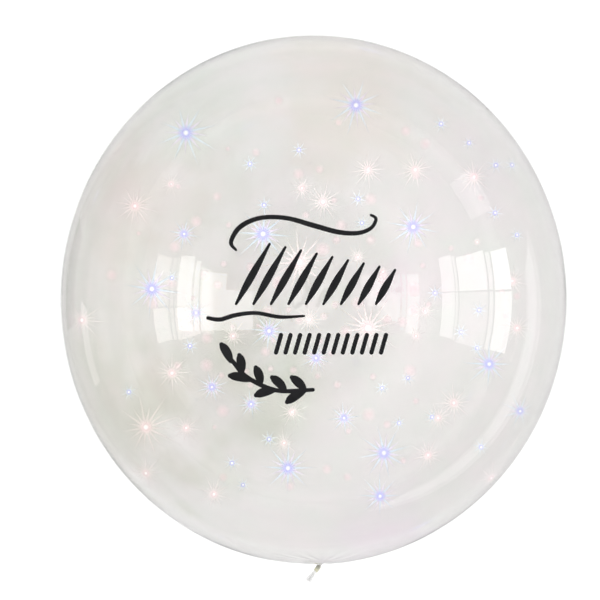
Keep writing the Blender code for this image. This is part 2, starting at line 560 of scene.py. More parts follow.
def floor_material():
    """Pale seamless paper, with painted shade round the balloon and a painted pool of light under it."""
    material, tree, shader = new_material("studio_floor")
    reach = flat_distance(tree, 0, 0)
    ramp = add_node(tree, "ShaderNodeValToRGB", {"Fac": reach})
    ramp.color_ramp.interpolation = "EASE"
    for place, tone in PAINTED_FLOOR_SHADE:
        ramp.color_ramp.elements.new(place).color = (tone, tone, tone, 1)
    # The two colours that a new ramp starts with go
    ramp.color_ramp.elements.remove(ramp.color_ramp.elements[-1])
    ramp.color_ramp.elements.remove(ramp.color_ramp.elements[0])
    grain = blend_colours(tree, mottle(tree, 3, 3), (0.99, 0.99, 0.99), (1, 1, 1))
    values = {
        "Base Color": blend_colours(tree, 1.0, ramp.outputs["Color"], grain, "MULTIPLY"),
        "Emission Color": (1, 1, 1, 1),
        # Painted light: a glow from the paper itself under the ball
        "Emission Strength": ease(within(1 - Term(tree, reach) / GATHERED_REACH)) * GATHERED_LIGHT,
        "Roughness": 0.9,
        "Specular IOR Level": 0.1,
    }
    fill(tree, shader, values)
    material.cycles.emission_sampling = "NONE"
    return material


def card_material(name, tone):
    """Matt card."""
    material, tree, shader = new_material(name)
    dark = Vector((tone, tone, tone))
    values = {"Base Color": blend_colours(tree, mottle(tree, 8, 2), dark, dark * 1.1), "Roughness": 1.0}
    fill(tree, shader, values)
    return material


# The film


# Where each stretch of the film ends, as a share of its whole run from the crown to the tail
BALL_END, FUNNEL_END, WOUND_END = 0.80, 0.87, 0.91
WOUND_MIDDLE = (FUNNEL_END + WOUND_END) / 2
# The higher it is, the closer the ball's rings crowd towards the neck
RING_CROWDING = 1.6
# The noise that makes the pleats uneven, and how far it moves the pleats and the wrinkles round the neck
UNEVEN_SCALE, PLEAT_DRIFT, WRINKLE_DRIFT = 2.3, 9, 14
# A pleat's least depth and how much the noise adds to it, over the pleat depth
PLEAT_LEAST, PLEAT_UNEVEN = 0.35, 1.3
# The finer wrinkles' depth on the ball, over the pleat depth, and on the tail, over its width
WRINKLE_DEPTH, TAIL_WRINKLE = 0.12, 0.14
# How deep the funnel and the tail are fluted, over their width
FUNNEL_FLUTE, TAIL_FLUTE = 0.10, 0.24
# How much the noise lengthens the tail, and how much it is shortened for that
TAIL_UNEVEN, TAIL_TRIM = 0.12, 0.05
# How softly the flat spot meets the ball
FLAT_SOFTNESS = 1.5 * MM
# Points closer than this are one point
SEAM = 0.005 * MM


def film_recipe(name, settings, first, last, along_count, material):
    """Turns a grid into a stretch of the film.

    The whole run goes from the crown over the ball, down the funnel and along the neck and tail. First and
    last are the shares of that run where the stretch starts and ends.
    """
    recipe = Recipe(name)
    start_share = recipe.value("First share", first)
    end_share = recipe.value("Last share", last)
    around = recipe.value("Points around", settings.around, "Int")
    along = recipe.value("Points along", along_count, "Int")
    radius = recipe.value("Ball radius", BALL_RADIUS)
    half_length = recipe.value("Half length", HALF_LENGTH)
    height = recipe.value("Centre height", BALL_CENTRE.z)
    funnel_radius = recipe.value("Funnel radius", FUNNEL_RADIUS)
    neck_radius = recipe.value("Neck radius", NECK_RADIUS)
    tail_radius = recipe.value("Tail radius", TAIL_RADIUS)
    tail_length = recipe.value("Tail length", TAIL_LENGTH)
    wound_length = recipe.value("Wound length", WOUND_LENGTH + 2 * CORD_GAP)
    bend_radius = recipe.value("Bend radius", BEND_RADIUS)
    sidestep = recipe.value("Sidestep", NECK_SIDESTEP)
    lean = recipe.value("Lean", NECK_LEAN)
    droop = recipe.value("Droop", NECK_DROOP)
    pleats = recipe.value("Pleats", float(settings.pleats))
    pleat_depth = recipe.value("Pleat depth", settings.pleat_depth)
    pleat_reach = recipe.value("Pleat reach", settings.pleat_reach)
    softness = recipe.value("Softness of the flat spot", FLAT_SOFTNESS)

    tree = recipe.tree
    spans = {"Size X": 1.0, "Size Y": 1.0, "Vertices X": around, "Vertices Y": along}
    grid = recipe.add("GeometryNodeMeshGrid", spans)
    position = recipe.add("GeometryNodeInputPosition")
    place = recipe.add("ShaderNodeSeparateXYZ", {"Vector": position.outputs[0]})
    angle = (Term(tree, place.outputs["X"]) + 0.5) * math.tau
    share = start_share + (end_share - start_share) * (Term(tree, place.outputs["Y"]) + 0.5)
    on_ball = within(share / BALL_END)
    on_funnel = within((share - BALL_END) / (FUNNEL_END - BALL_END))
    on_wound = within((share - FUNNEL_END) / (WOUND_END - FUNNEL_END))
    on_tail = within((share - WOUND_END) / (1 - WOUND_END))

    # The ball's turn from the crown, with its rings closer together towards the neck
    funnel_turn = math.pi - maths(tree, "ARCSINE", funnel_radius / radius)
    turn = (1 - (1 - on_ball) ** RING_CROWDING) * funnel_turn
    reach_turn = pleat_reach / radius
    pleated = ease(within((turn - funnel_turn + reach_turn) / reach_turn))

    # Main pleats of uneven depth, and finer wrinkles close to the neck
    spot = recipe.add("ShaderNodeCombineXYZ", {"X": cos(angle), "Y": sin(angle)})
    noise = {"Vector": spot.outputs[0], "Scale": UNEVEN_SCALE, "Detail": 2.0}
    drift = Term(tree, recipe.add("ShaderNodeTexNoise", noise).outputs[0])
    fold = (1 - cos(angle * pleats + drift * PLEAT_DRIFT)) * 0.5
    wrinkle = sin(angle * (pleats * 3 - 1) + drift * WRINKLE_DRIFT)
    creases = fold * (PLEAT_LEAST + drift * PLEAT_UNEVEN) + wrinkle * pleated * WRINKLE_DEPTH
    groove = pleat_depth * pleated * (1 - on_funnel) * creases
    flute = FUNNEL_FLUTE * ease(on_funnel) + TAIL_FLUTE * on_tail

    # How wide the film is, ring by ring
    wide = radius * sin(turn)
    wide = wide - (funnel_radius - neck_radius) * (1 - (1 - on_funnel) ** 2)
    wide = wide + (tail_radius - neck_radius) * root(on_tail)
    wide = wide * (1 + flute * (1 - 2 * fold) + on_tail * wrinkle * TAIL_WRINKLE)

    # The bend, in the plane that the lean and the droop share
    bend = maths(tree, "ARCCOSINE", cos(lean) * cos(droop))
    side_x = 0 - sin(lean) * cos(droop) / sin(bend)
    side_z = 0 - sin(droop) / sin(bend)
    turned = bend * on_funnel
    tail_stretch = 1 + drift * on_tail * TAIL_UNEVEN - TAIL_TRIM
    straight = wound_length * on_wound + tail_length * on_tail * tail_stretch - groove

    outward = 0 - half_length * cos(turn)
    outward = outward + bend_radius * sin(turned) + straight * cos(turned) - wide * cos(angle) * sin(turned)
    sideways = bend_radius * (1 - cos(turned)) + straight * sin(turned) + wide * cos(angle) * cos(turned)
    across = wide * sin(angle)

    x = sideways * side_x - across * side_z + sidestep * pleated
    z = height + sideways * side_z + across * side_x
    resting = (z + root(z * z + softness * softness)) * 0.5
    point = recipe.add("ShaderNodeCombineXYZ", {"X": x, "Y": 0 - outward, "Z": resting})
    moved = {"Geometry": grid.outputs[0], "Position": point.outputs[0]}
    shaped = recipe.add("GeometryNodeSetPosition", moved)
    joined = {"Geometry": shaped.outputs[0], "Distance": SEAM}
    recipe.finish(recipe.add("GeometryNodeMergeByDistance", joined).outputs[0], material)
    return recipe


class BALLOON_OT_film(bpy.types.Operator):
    """Makes the clear film, with its pleats, gathered neck and open tail"""

    bl_idname = "balloon.film"
    bl_label = "Make the film"

    def execute(self, context):
        settings = context.scene.balloon_film
        clear, milky = film_material(settings), gathered_material(settings)
        for name, first, last, along_count, material in (
            ("film", 0.0, WOUND_MIDDLE, settings.along, clear),
            ("film_tail", WOUND_MIDDLE, 1.0, settings.tail_along, milky),
        ):
            stretch = film_recipe(name, settings, first, last, along_count, material)
            dress(stretch.make(name, wall=settings.wall), "clear_film", "balloon_film")
        return {"FINISHED"}


# The cord


# The neck's radius with its flutes
FLUTED_RADIUS = NECK_RADIUS * 1.1
WINDING_STEPS, WINDING_START = 24, math.radians(60)
KNOT_STEPS = 60
# The knot's size over the cord's width, and where its loops start and how far they run, in turns
KNOT_SIZE, KNOT_START, KNOT_RUN = 0.95, 0.06, 0.88
CORD_SIDES = 10


def neck_frame():
    """Where the winding starts, the way the neck runs, and the two ways across it."""
    out = Vector((0, -1, 0))
    along = Vector(
        (
            -math.sin(NECK_LEAN) * math.cos(NECK_DROOP),
            -math.cos(NECK_LEAN) * math.cos(NECK_DROOP),
            -math.sin(NECK_DROOP),
        )
    )
    bend = out.angle(along)
    side = (along - out * math.cos(bend)).normalized()
    edge = math.pi - math.asin(FUNNEL_RADIUS / BALL_RADIUS)
    funnel = Vector((NECK_SIDESTEP, HALF_LENGTH * math.cos(edge), BALL_CENTRE.z))
    start = funnel + out * (BEND_RADIUS * math.sin(bend)) + side * (BEND_RADIUS * (1 - math.cos(bend)))
    across = Vector((0, 0, 1)).cross(along).normalized()
    return start + along * CORD_GAP, along, across, along.cross(across)


def winding_path(settings):
    """The line of the cord's turns round the neck."""
    start, along, across, up = neck_frame()
    radius = FLUTED_RADIUS + CORD_GAP + settings.width / 2
    length = WOUND_LENGTH - settings.width
    steps = settings.turns * WINDING_STEPS
    path = []
    for i in range(steps + 1):
        share = i / steps
        angle = math.tau * settings.turns * share + WINDING_START
        ring = across * math.cos(angle) + up * math.sin(angle)
        path.append(start + along * (settings.width / 2 + length * share) + ring * radius)
    return path


def knot_middle(settings):
    """Where the knot sits: on top of the winding, next to the ball."""
    start, along, across, up = neck_frame()
    radius = FLUTED_RADIUS + CORD_GAP + settings.width * 1.7
    return start + along * (1.2 * settings.width) + up * radius - across * (0.5 * settings.width)


def knot_path(settings):
    """A small overhand knot with its two short ends."""
    _, along, across, up = neck_frame()
    size = settings.width * KNOT_SIZE
    middle = knot_middle(settings)
    path = [middle - across * (2.9 * size) + along * (0.9 * size) - up * (0.5 * size)]
    for i in range(KNOT_STEPS + 1):
        angle = math.tau * (KNOT_START + KNOT_RUN * i / KNOT_STEPS)
        reach = size * (1.25 + 0.75 * math.cos(3 * angle))
        flat = across * (-reach * math.cos(2 * angle)) + along * (reach * math.sin(2 * angle))
        path.append(middle + flat + up * (size * 0.75 * math.sin(3 * angle)))
    path.append(middle - across * (2.4 * size) + along * (2.4 * size) - up * (0.2 * size))
    return path


def cord_recipe(settings, material):
    """Runs a round cord along every line of the base mesh."""
    recipe = Recipe("neck_cord")
    width = recipe.value("Cord width", settings.width)
    sides = recipe.value("Sides", CORD_SIDES, "Int")

    def marked(curve, name, measure):
        runs = recipe.add("GeometryNodeSplineParameter").outputs[measure]
        values = {"Geometry": curve.outputs[0], "Name": name, "Value": runs}
        kind = "GeometryNodeStoreNamedAttribute"
        return recipe.add(kind, values, data_type="FLOAT", domain="POINT").outputs[0]

    line = recipe.add("GeometryNodeMeshToCurve", {"Mesh": recipe.start.outputs["Geometry"]})
    ring = recipe.add("GeometryNodeCurvePrimitiveCircle", {"Resolution": sides, "Radius": width * 0.5})
    curves = {
        "Curve": marked(line, "cord_along", "Length"),
        "Profile Curve": marked(ring, "cord_around", "Factor"),
        "Fill Caps": True,
    }
    recipe.finish(recipe.add("GeometryNodeCurveToMesh", curves).outputs[0], material)
    return recipe


def line_mesh(name, *paths):
    """A mesh of bare edges along each path."""
    shape = bmesh.new()
    for path in paths:
        corners = [shape.verts.new(point) for point in path]
        for corner, after in zip(corners, corners[1:]):
            shape.edges.new((corner, after))
    return finished_mesh(name, shape)


class BALLOON_OT_cord(bpy.types.Operator):
    """Winds the cord round the neck and knots it"""

    bl_idname = "balloon.cord"
    bl_label = "Wind the cord"

    def execute(self, context):
        settings = context.scene.balloon_cord
        lines = line_mesh("cord_lines", winding_path(settings), knot_path(settings))
        cord = cord_recipe(settings, cord_material(settings)).make("neck_cord", lines)
        dress(cord, "neck_cord", "neck_tie")
        return {"FINISHED"}


# The print, drawn on the picture's own grid of pixels and laid on the film along the lines of sight


# Each wave is its points: how far across and down the picture, and how wide the pen is there
CREST = [
    (236, 250, 2.4), (231, 242, 4.2), (240, 227, 5.0), (260, 218, 4.6), (286, 218, 4.6), (312, 225, 5.2),
    (338, 232, 5.0), (358, 233, 4.4), (371, 228, 3.8), (376, 219, 3.4), (371, 215, 2.6),
]
UNDERLINE = [
    (208, 318, 3.8), (220, 319.5, 4.4), (236, 315, 4.4), (256, 313, 4.0), (280, 317, 3.8), (304, 316, 2.4),
]
# The row of slanted marks under the crest: where the feet stand, and how tall and slanted the marks are
MARK_COUNT = 9
MARK_LEFT, MARK_RIGHT = 236, 376
MARK_FOOT = 304
MARK_TALLEST, MARK_SHORTEST = 60, 34
MARK_SLANT = 0.56
MARK_WIDTH = 7.6
CAPTION_LEFT, CAPTION_RIGHT = 276, 386
CAPTION_TOP, CAPTION_FOOT = 335, 352.5
CAPTION_BARS = 12
CAPTION_SLANT = 5.0
CAPTION_WIDTH = 4.4
STEM = [
    (223, 350, 3.6), (234, 363, 4.4), (243, 374, 4.6), (255, 382, 4.6), (268, 388, 4.6), (281, 391, 4.4),
    (294, 391, 4.4), (304, 390.3, 4.2), (313, 389.8, 3.8),
]
# Each leaf is its tip and its base on the stem
LEAVES = [
    ((220.4, 342.6), (230.6, 361.0)), ((239.1, 353.3), (241.5, 372.6)), ((227.8, 375.3), (249.5, 380.0)),
    ((255.3, 365.8), (260.6, 383.6)), ((254.0, 395.8), (274.5, 390.0)), ((270.7, 376.0), (284.9, 389.8)),
    ((285.3, 403.2), (303.9, 391.6)), ((290.5, 376.0), (304.7, 389.8)),
]
LEAF_WIDTH = 9.2
LEAF_TIP_INSET = 0.10
LEAF_BOW = 0.9
# Each round end's steps, and how wide a stroke still is at its very tip
END_STEPS, TIP_WIDTH = 3, 0.05


def passing(values, share):
    """The curve through the second and third of four values, a share of the way between them."""
    a, b, c, d = values
    slope = (c - a) * share
    curve = (2 * a - 5 * b + 4 * c - d) * share**2
    twist = (3 * b - a - 3 * c + d) * share**3
    return (2 * b + slope + curve + twist) / 2


def smooth_line(points, steps=7):
    """A smooth run through the points, whose values past the first two are carried along."""
    ends = [points[0]] + list(points) + [points[-1]]
    run = []
    for before, start, end, after in zip(ends, ends[1:], ends[2:], ends[3:]):
        for i in range(steps):
            run.append(tuple(passing(values, i / steps) for values in zip(before, start, end, after)))
    run.append(tuple(points[-1]))
    return run


def round_ends(run):
    """Adds a half-round end to each end of a stroke."""
    finished = list(run)
    for at_start in (True, False):
        end, near = (run[0], run[1]) if at_start else (run[-1], run[-2])
        radius = end[2] / 2
        away = Vector((end[0] - near[0], end[1] - near[1])).normalized()
        for i in range(1, END_STEPS + 1):
            turn = i * math.pi / (2 * END_STEPS)
            reach = away * (radius * math.sin(turn))
            point = (end[0] + reach.x, end[1] + reach.y, 2 * radius * math.cos(turn) + TIP_WIDTH)
            if at_start:
                finished.insert(0, point)
            else:
                finished.append(point)
    return finished


def lay_stroke(shape, run, settings):
    """Lays one stroke on the film as a closed layer of ink, with a rounded run of widths."""
    rows = []
    for i, (x, y, width) in enumerate(run):
        before, after = run[max(i - 1, 0)], run[min(i + 1, len(run) - 1)]
        way = Vector((after[0] - before[0], after[1] - before[1])).normalized()
        edge = Vector((-way.y, way.x)) * (width / 2)
        row = []
        for lift in (settings.lift, settings.lift + settings.ink):
            for sign in (-1, 1):
                row.append(shape.verts.new(sighted(x + sign * edge.x, y + sign * edge.y, lift)))
        rows.append([row[0], row[1], row[3], row[2]])
    for row, after in zip(rows, rows[1:]):
        for i in range(4):
            j = (i + 1) % 4
            shape.faces.new((row[i], row[j], after[j], after[i]))
    shape.faces.new(rows[0])
    shape.faces.new(rows[-1])


def brush_mark(top, foot, widest, swell, steps=12):
    """A straight stroke whose width swells as the function swell says, from its top to its foot."""
    run = []
    for i in range(steps + 1):
        share = i / steps
        x = top[0] + (foot[0] - top[0]) * share
        y = top[1] + (foot[1] - top[1]) * share
        run.append((x, y, widest * swell(share)))
    return run


def pen_swell(share):
    """A pen's stroke: fine at its top and foot, full in its lower middle."""
    return 0.34 + 0.66 * math.sin(math.pi * share**1.15) ** 1.2


def bar_swell(share):
    """A marker's bar: one width all the way."""
    return 1.0


def leaf_swell(share):
    """A leaf from its blunt tip to its narrower base."""
    return 0.5 + 0.5 * math.sin(math.pi * share**0.85) ** 0.7


def leaf_path(tip, base):
    """A leaf's line, bowed a little to one side."""
    start = [t + (b - t) * LEAF_TIP_INSET for t, b in zip(tip, base)]
    run = brush_mark(start, base, LEAF_WIDTH, leaf_swell)
    away = Vector((base[1] - tip[1], tip[0] - base[0])).normalized()
    bowed = []
    for i, (x, y, width) in enumerate(run):
        bow = LEAF_BOW * math.sin(math.pi * i / (len(run) - 1))
        bowed.append((x + away.x * bow, y + away.y * bow, width))
    return bowed


def print_piece(name, runs, settings, material):
    """One printed motif: every stroke laid on the film."""
    shape = bmesh.new()
    for run in runs:
        lay_stroke(shape, round_ends(run), settings)
    bmesh.ops.recalc_face_normals(shape, faces=shape.faces)
    dress(add_object(name, finished_mesh(name, shape, material)), "black_print")


class BALLOON_OT_print(bpy.types.Operator):
    """Prints the flourish, the row of bars and the leaf sprig on the film"""

    bl_idname = "balloon.print"
    bl_label = "Print the film"

    def execute(self, context):
        settings = context.scene.balloon_print
        ink = ink_material(settings)
        flourish = [smooth_line(line) for line in (CREST, UNDERLINE)]
        for i in range(MARK_COUNT):
            share = i / (MARK_COUNT - 1)
            x = MARK_LEFT + (MARK_RIGHT - MARK_LEFT) * share
            tall = MARK_TALLEST + (MARK_SHORTEST - MARK_TALLEST) * share
            top = (x + tall * MARK_SLANT, MARK_FOOT - tall)
            flourish.append(brush_mark(top, (x, MARK_FOOT), MARK_WIDTH, pen_swell))
        print_piece("print_flourish", flourish, settings, ink)
        bars = []
        for i in range(CAPTION_BARS):
            x = CAPTION_LEFT + (CAPTION_RIGHT - CAPTION_SLANT - CAPTION_LEFT) * i / (CAPTION_BARS - 1)
            bars.append(
                brush_mark((x + CAPTION_SLANT, CAPTION_TOP), (x, CAPTION_FOOT), CAPTION_WIDTH, bar_swell)
            )
        print_piece("print_bars", bars, settings, ink)
        sprig = [smooth_line(STEM)] + [leaf_path(tip, base) for tip, base in LEAVES]
        print_piece("print_sprig", sprig, settings, ink)
        return {"FINISHED"}


# The sparkles: painted glints, as flecks inside the film that glow by their own light


COOL_STARS = [
    (186, 133, 25), (356, 105, 24), (413, 227, 22), (152, 289, 24), (263, 234, 24), (288, 468, 22),
    (384, 453, 22), (380, 496, 18), (489, 364, 20), (269, 331, 18), (212, 387, 14), (184, 234, 14),
    (316, 358, 14), (251, 404, 13), (344, 418, 14), (520, 411, 15), (196, 313, 13),
]
WARM_STARS = [
    (135, 206, 19), (171, 184, 13), (146, 427, 27), (146, 473, 18), (214, 494, 17), (172, 373, 18),
    (186, 428, 15), (368, 170, 17), (415, 170, 18), (474, 177, 18), (323, 202, 18), (302, 188, 14),
    (299, 262, 32), (368, 328, 30), (309, 320, 15), (358, 257, 12), (383, 272, 12), (477, 242, 8),
    (512, 281, 16), (517, 328, 16), (425, 311, 13), (416, 336, 10), (233, 336, 14), (82, 320, 20),
    (292, 412, 15), (284, 443, 13), (454, 403, 18), (438, 418, 15), (428, 455, 16), (491, 478, 17),
]
SMALL_STARS = [
    (250, 164, 8), (264, 205, 8), (172, 278, 7), (190, 346, 8), (129, 392, 8), (232, 463, 8), (243, 485, 7),
    (269, 439, 8), (299, 150, 8), (441, 124, 8), (469, 143, 7), (496, 165, 8), (512, 165, 8), (495, 213, 8),
    (517, 235, 7), (358, 199, 8), (362, 223, 7), (435, 293, 8), (461, 332, 8), (479, 310, 8), (477, 348, 7),
    (408, 378, 7), (382, 388, 7), (432, 417, 7), (399, 423, 7), (481, 447, 8),
]
SKY, VIOLET, PINK = (0.70, 0.85, 0.98), (0.52, 0.52, 1.0), (0.86, 0.74, 0.93)
PALE_SKY = (0.77, 0.86, 0.96)
ROSE, SHELL, WHITE = (0.98, 0.77, 0.79), (0.99, 0.88, 0.87), (1.0, 1.0, 1.0)
BLUSH = (0.94, 0.72, 0.75)
FLECK_INSET = 0.8 * MM
FLECK_THICKNESS = 0.03
# What one unit of height on a fleck comes to, whatever the fleck's reach
FLECK_UNIT = 10 * MM
# Over a star's reach: the radii of its white core and its coloured ring, and where its rays start
COOL_RADII, WARM_RADII, SMALL_RADII = (0.035, 0.10, 0.26), (0.035, 0.09, 0.18), (0.06, 0.18, 0.24)
# Over a star's height at its middle: its heights at its core and ring and where its rays start
CORE_HEIGHT, RING_HEIGHT, RAY_HEIGHT = 0.9, 0.75, 0.5
# How solid each face of a fleck is: at its ring, where its rays start, and in the middle of a faint fleck
RING_SOLID, RAY_SOLID, FAINT_GLINT_SOLID = 0.62, 0.64, 0.32
# The rays fade out before their tips, so they are longer than they look
RAY_STRETCH = 1.4
# A fleck on the film's slope is stretched down the slope at most this much to look round from above
MOST_STRETCH = 2.4
# Every so many stars, one is on the far wall
FAR_EVERY = 5
# The faint flecks, in pixels: the middle of where they are strewn, how widely, and the least gap between two
FAINT_GLINT_MIDDLE, FAINT_GLINT_SPREAD, FAINT_GLINT_SPACING = (300, 310), 115, 14
# How far out they may lie, over the ball's width; the share on the far wall; their reaches in millimetres
FAINT_GLINT_LIMIT, FAINT_GLINT_FAR, FAINT_GLINT_REACHES = 0.42, 0.25, (3.5, 8.5)
FAINT_GLINT_SIDES = 8
# A faint fleck's rings: each one's radius, its height and how solid it is, over the middle's
FAINT_GLINT_RINGS = [(0.5, 0.7, 0.5), (1.0, 0.0, 0.0)]
SAME_PLACE = 0.0001


def star_mesh(name, radii, ring_colour, rays):
    """A painted glint: a fleck one unit in reach, as a thin closed leaf with its colours stored at its
    points.

    It is white out to the core's radius and takes the ring's colour at the ring's radius. Its rays start at
    the halo's radius, and each is its reach and its colour. A stored colour's fourth value says how solid the
    fleck is there: it fades to nothing between the rays and at their tips.
    """
    shape = bmesh.new()
    layer = shape.verts.layers.float_color.new("glint")
    core, ring, halo = radii
    steps = 2 * len(rays)

    def point(step, radius, height, colour, solid):
        angle = math.tau * step / steps
        place = (radius * math.cos(angle), radius * math.sin(angle), height * FLECK_THICKNESS)
        vert = shape.verts.new(place)
        vert[layer] = (*colour, solid)
        return vert

    tips = [point(2 * i, reach, 0, colour, 0) for i, (reach, colour) in enumerate(rays)]
    notches = [point(2 * i + 1, halo, 0, colour, 0) for i, (_, colour) in enumerate(rays)]
    for side in (1, -1):
        middle = point(0, 0, side, WHITE, 1)
        bright = [point(step, core, side * CORE_HEIGHT, WHITE, 1) for step in range(steps)]
        ringed = [point(step, ring, side * RING_HEIGHT, ring_colour, RING_SOLID) for step in range(steps)]
        ridges = [
            point(2 * i, halo, side * RAY_HEIGHT, colour, RAY_SOLID) for i, (_, colour) in enumerate(rays)
        ]
        faces = []
        for step in range(steps):
            after = (step + 1) % steps
            faces.append((middle, bright[step], bright[after]))
            faces.append((bright[step], ringed[step], ringed[after], bright[after]))
        for i in range(len(rays)):
            ahead = (i + 1) % len(rays)
            faces.append((ringed[2 * i], ridges[i], notches[i], ringed[2 * i + 1]))
            faces.append((ringed[2 * i + 1], notches[i], ridges[ahead], ringed[(2 * i + 2) % steps]))
            faces.append((ridges[i], tips[i], notches[i]))
            faces.append((notches[i], tips[ahead], ridges[ahead]))
        for face in faces:
            shape.faces.new(face if side > 0 else face[::-1])
    return finished_mesh(name, shape)


def cool_star():
    """Eight long pale blue rays, and eight shorter pink ones between them."""
    rays = [(1.0, SKY) if i % 2 == 0 else (0.7, PINK) for i in range(16)]
    return star_mesh("cool_star", COOL_RADII, VIOLET, rays)


def warm_star():
    """Eight long and eight shorter rays of a pale shell colour."""
    rays = [(1.0 if i % 2 == 0 else 0.7, SHELL) for i in range(16)]
    return star_mesh("warm_star", WARM_RADII, ROSE, rays)


def small_star():
    """A small violet glint with eight short rays."""
    return star_mesh("small_star", SMALL_RADII, VIOLET, [(1.0, PALE_SKY)] * 8)


def faint_glint_star():
    """A faint painted glint: a round fleck with a soft edge that glows."""
    shape = bmesh.new()
    layer = shape.verts.layers.float_color.new("glint")
    for side in (1, -1):
        middle = shape.verts.new((0, 0, side * FLECK_THICKNESS))
        middle[layer] = (*BLUSH, FAINT_GLINT_SOLID)
        inner = None
        for radius, height, solid in FAINT_GLINT_RINGS:
            outer = []
            for step in range(FAINT_GLINT_SIDES):
                angle = math.tau * step / FAINT_GLINT_SIDES
                place = (radius * math.cos(angle), radius * math.sin(angle), side * height * FLECK_THICKNESS)
                outer.append(shape.verts.new(place))
                outer[-1][layer] = (*BLUSH, solid * FAINT_GLINT_SOLID)
            for step in range(FAINT_GLINT_SIDES):
                after = (step + 1) % FAINT_GLINT_SIDES
                face = [outer[step], outer[after]]
                face += [inner[after], inner[step]] if inner else [middle]
                shape.faces.new(face if side > 0 else face[::-1])
            inner = outer
    bmesh.ops.remove_doubles(shape, verts=shape.verts, dist=SAME_PLACE)
    return finished_mesh("faint_glint_star", shape)


def slope_stretch(place):
    """The way down the film's slope at a place, as long as the root of what its fleck's stretch adds."""
    outward = Vector(p / a**2 for p, a in zip(place - BALL_CENTRE, BALL_AXES)).normalized()
    sight = (CAMERA_PLACE - place).normalized()
    facing = outward.dot(sight)
    slope = (sight - outward * facing).normalized()
    return slope * math.sqrt(min(1 / abs(facing), MOST_STRETCH) - 1)


def point_mesh(name, points, reaches, rolls):
    """Bare points that carry their sparkle's place, stretch, reach and roll."""
    mesh = bpy.data.meshes.new(name)
    mesh.from_pydata(points, [], [])
    stretches = [slope_stretch(point) for point in points]
    for attribute, vectors in (("place", points), ("stretch", stretches)):
        stored = mesh.attributes.new(attribute, "FLOAT_VECTOR", "POINT")
        stored.data.foreach_set("vector", [value for vector in vectors for value in vector])
    mesh.attributes.new("reach", "FLOAT", "POINT").data.foreach_set("value", reaches)
    mesh.attributes.new("roll", "FLOAT", "POINT").data.foreach_set("value", rolls)
    return mesh


def placed_mesh(name, stars):
    """A point for each star, one in five of them on the far wall."""
    draw = random.Random(name)
    points, reaches, rolls = [], [], []
    for i, (across, down, reach) in enumerate(stars):
        place = sighted(across, down, -FLECK_INSET, far_wall=i % FAR_EVERY == 1)
        sight = (CAMERA_PLACE - place).length / CAMERA_DISTANCE
        points.append(place)
        reaches.append(reach * RAY_STRETCH * PIXEL * sight)
        rolls.append(draw.uniform(0, math.tau))
    return point_mesh(name, points, reaches, rolls)


def strewn_mesh(count, seed):
    """Points strewn at random inside the film, mostly over its middle as the picture shows it."""
    draw = random.Random(seed)
    spots, points, reaches, rolls = [], [], [], []
    while len(points) < count:
        spot = draw.gauss(FAINT_GLINT_MIDDLE[0], FAINT_GLINT_SPREAD), draw.gauss(FAINT_GLINT_MIDDLE[1], FAINT_GLINT_SPREAD)
        outside = math.dist(spot, BALL_MIDDLE) > FAINT_GLINT_LIMIT * BALL_IN_PICTURE
        if outside or any(math.dist(spot, taken) < FAINT_GLINT_SPACING for taken in spots):
            continue
        spots.append(spot)
        points.append(sighted(*spot, -FLECK_INSET, far_wall=draw.random() < FAINT_GLINT_FAR))
        reaches.append(draw.uniform(*FAINT_GLINT_REACHES) * MM)
        rolls.append(draw.uniform(0, math.tau))
    return point_mesh("faint_glints", points, reaches, rolls)


def sparkle_recipe(name, star, material):
    """Sets a fleck at every point of the base mesh and bends it to the inside of the film."""
    recipe = Recipe(name)
    tree = recipe.tree
    centre = recipe.value("Ball centre", tuple(BALL_CENTRE), "Vector")
    axes = recipe.value("Ball half sizes", tuple(BALL_AXES), "Vector")
    inset = recipe.value("Inset", FLECK_INSET)
    fleck = recipe.value("Fleck", star, "Object")

    def vector(operation, *values):
        return vector_maths(tree, operation, *values)

    def carried(name, kind="FLOAT"):
        return recipe.add("GeometryNodeInputNamedAttribute", {"Name": name}, data_type=kind).outputs[0]

    here = recipe.add("GeometryNodeInputPosition").outputs[0]
    outward = vector("SUBTRACT", here, centre)
    rolled = recipe.add("ShaderNodeCombineXYZ", {"Z": carried("roll")}).outputs[0]
    faced = recipe.add("FunctionNodeAlignRotationToVector", {"Vector": outward}, axis="Z").outputs[0]
    turned = recipe.add(
        "FunctionNodeRotateRotation", {"Rotation": faced, "Rotate By": rolled}, rotation_space="LOCAL"
    ).outputs[0]
    info = recipe.add("GeometryNodeObjectInfo", {"Object": fleck}).outputs["Geometry"]
    placed = recipe.add(
        "GeometryNodeInstanceOnPoints",
        {
            "Points": recipe.start.outputs["Geometry"],
            "Instance": info,
            "Rotation": turned,
            "Scale": carried("reach"),
        },
    )
    real = recipe.add("GeometryNodeRealizeInstances", {"Geometry": placed.outputs[0]})

    # Each fleck is stretched down the film's slope
    stretch = carried("stretch", "FLOAT_VECTOR")
    apart = vector("SUBTRACT", here, carried("place", "FLOAT_VECTOR"))
    along = {"Vector": stretch, "Scale": vector("DOT_PRODUCT", apart, stretch)}
    widened = vector("ADD", here, recipe.add("ShaderNodeVectorMath", along, operation="SCALE").outputs[0])

    # Every point goes in or out to the film's inside, plus the height that it has in its own fleck
    unit = vector("DIVIDE", vector("SUBTRACT", widened, centre), axes)
    depth = inset - Term(tree, carried("level"))
    depths = recipe.add("ShaderNodeCombineXYZ", {"X": depth, "Y": depth, "Z": depth})
    shrunk = vector("SUBTRACT", axes, depths.outputs[0])
    bent = vector("ADD", vector("MULTIPLY", vector("NORMALIZE", unit), shrunk), centre)
    laid = recipe.add("GeometryNodeSetPosition", {"Geometry": real.outputs[0], "Position": bent})
    recipe.finish(laid.outputs[0], material)
    return recipe


